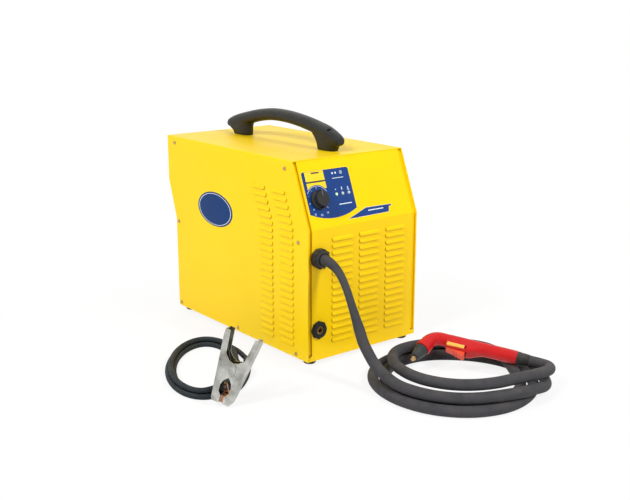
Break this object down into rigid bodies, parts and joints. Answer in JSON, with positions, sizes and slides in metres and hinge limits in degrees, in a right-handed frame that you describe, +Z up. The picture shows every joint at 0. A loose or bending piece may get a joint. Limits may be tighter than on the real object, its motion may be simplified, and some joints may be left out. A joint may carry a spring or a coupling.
{
  "type": "plasma cutter unit",
  "caption": "Plasma cutter with a built-in compressor: louvred steel housing with a leaning control face and carrying handle, hand torch on a coiled hose, and a coiled earth lead with a clamp.",
  "frame": {"origin": "On the floor, under the centre of the lower housing's footprint.", "axes": "-Y is the control side, +X is to the right of someone who faces the controls, +Z is up."},
  "size_m": [0.604, 0.917, 0.4702],
  "materials": {
    "housing_paint": "smooth yellow paint on pressed steel",
    "black_moulding": "black moulded nylon with a fine grain",
    "cup_black": "black moulded heat-resistant cup",
    "rubber_parts": "black rubber",
    "zinc_steel": "zinc-plated steel",
    "spring_steel": "hard-drawn spring wire",
    "overlay_film": "printed polyester film, satin",
    "badge_film": "glossy domed film",
    "lens_plastic": "clear moulded lens",
    "board_green": "glass-fibre circuit board",
    "brass_contact": "turned brass",
    "bare_aluminium": "cast and extruded aluminium",
    "capacitor_sleeve": "shrink sleeve over aluminium cans",
    "core_steel": "laminated steel core",
    "winding_copper": "enamelled copper winding",
    "motor_black": "black painted motor body",
    "rocker_red": "glossy red rocker",
    "torch_red": "red moulded nylon, satin",
    "torch_orange": "orange moulded trigger",
    "torch_yellow": "yellow moulded catch",
    "tip_copper": "turned and pressed copper",
    "hose_sheath": "woven protective sheath over a rubber hose",
    "cable_rubber": "black rubber cable"
  },
  "bodies": {
    "unit": {"base_tray": "housing_paint", "front_panel": "housing_paint", "rear_panel": "housing_paint", "cover": "housing_paint", "cover_screws": "zinc_steel", "carry_handle": "black_moulding", "handle_screws": "zinc_steel", "feet": "rubber_parts", "foot_screws": "zinc_steel", "control_overlay": "overlay_film", "side_badge": "badge_film", "knob_pot": "zinc_steel", "indicator_lenses": "lens_plastic", "control_board": "board_green", "gland_body": "black_moulding", "gland_nut": "black_moulding", "earth_socket": "black_moulding", "socket_contact": "brass_contact", "divider_plate": "zinc_steel", "power_board": "board_green", "heat_sink": "bare_aluminium", "capacitors": "capacitor_sleeve", "transformer_core": "core_steel", "transformer_winding": "winding_copper", "compressor_motor": "motor_black", "compressor_head": "bare_aluminium", "compressor_mounts": "rubber_parts", "fan_frame": "black_moulding", "fan_guard": "zinc_steel", "switch_frame": "black_moulding", "mains_gland": "black_moulding", "torch_shell_left": "torch_red", "torch_shell_right": "torch_red", "torch_screws": "zinc_steel", "torch_neck": "torch_red", "shield_cup": "cup_black", "nozzle": "tip_copper", "electrode": "tip_copper", "trigger_pin": "zinc_steel", "torch_switch": "black_moulding", "torch_sleeve": "rubber_parts", "hose_drop": "hose_sheath", "hose_coil": "hose_sheath", "earth_coil": "cable_rubber", "earth_tail": "cable_rubber", "plug_sleeve": "rubber_parts", "plug_pin": "brass_contact", "cable_lug": "tip_copper", "lug_bolt": "zinc_steel", "clamp_arm": "zinc_steel", "clamp_pin": "zinc_steel", "clamp_spring": "spring_steel", "clamp_contact": "tip_copper"},
    "fan": {"fan_rotor": "black_moulding"},
    "knob": {"knob": "black_moulding"},
    "rocker": {"switch_rocker": "rocker_red"},
    "trigger": {"trigger": "torch_orange"},
    "safety": {"safety_slide": "torch_yellow"},
    "lever": {"clamp_lever": "zinc_steel", "lever_contact": "tip_copper"}
  },
  "joints": [
    {"name": "knob_turn", "type": "hinge", "parent": "unit", "child": "knob", "pos_m": [-0.099, -0.22127, 0.32502], "axis": [0, -0.929, 0.3701], "range_deg": [-135, 135]},
    {"name": "fan_spin", "type": "hinge", "parent": "unit", "child": "fan", "pos_m": [0.055, 0.2215, 0.101], "axis": [0, 1, 0], "continuous": true},
    {"name": "switch_rock", "type": "hinge", "parent": "unit", "child": "rocker", "pos_m": [-0.072, 0.266, 0.347], "axis": [-1, 0, 0], "range_deg": [0, 18]},
    {"name": "trigger_press", "type": "hinge", "parent": "unit", "child": "trigger", "pos_m": [0.06017, -0.4209, 0.04467], "axis": [-0.3659, -0.2908, 0.8841], "range_deg": [0, 8], "stiffness_Nm_per_rad": 0.6, "springref_deg": -8.59},
    {"name": "safety_slide", "type": "slide", "parent": "unit", "child": "safety", "axis": [0.4578, -0.8833, -0.1011], "range_m": [0, 0.004]},
    {"name": "clamp_open", "type": "hinge", "parent": "unit", "child": "lever", "pos_m": [-0.35723, -0.30273, 0.0651], "axis": [-0.8102, -0.5709, 0.1324], "range_deg": [0, 22], "stiffness_Nm_per_rad": 3, "springref_deg": -17.19, "deforming": ["clamp_spring"]}
  ]
}
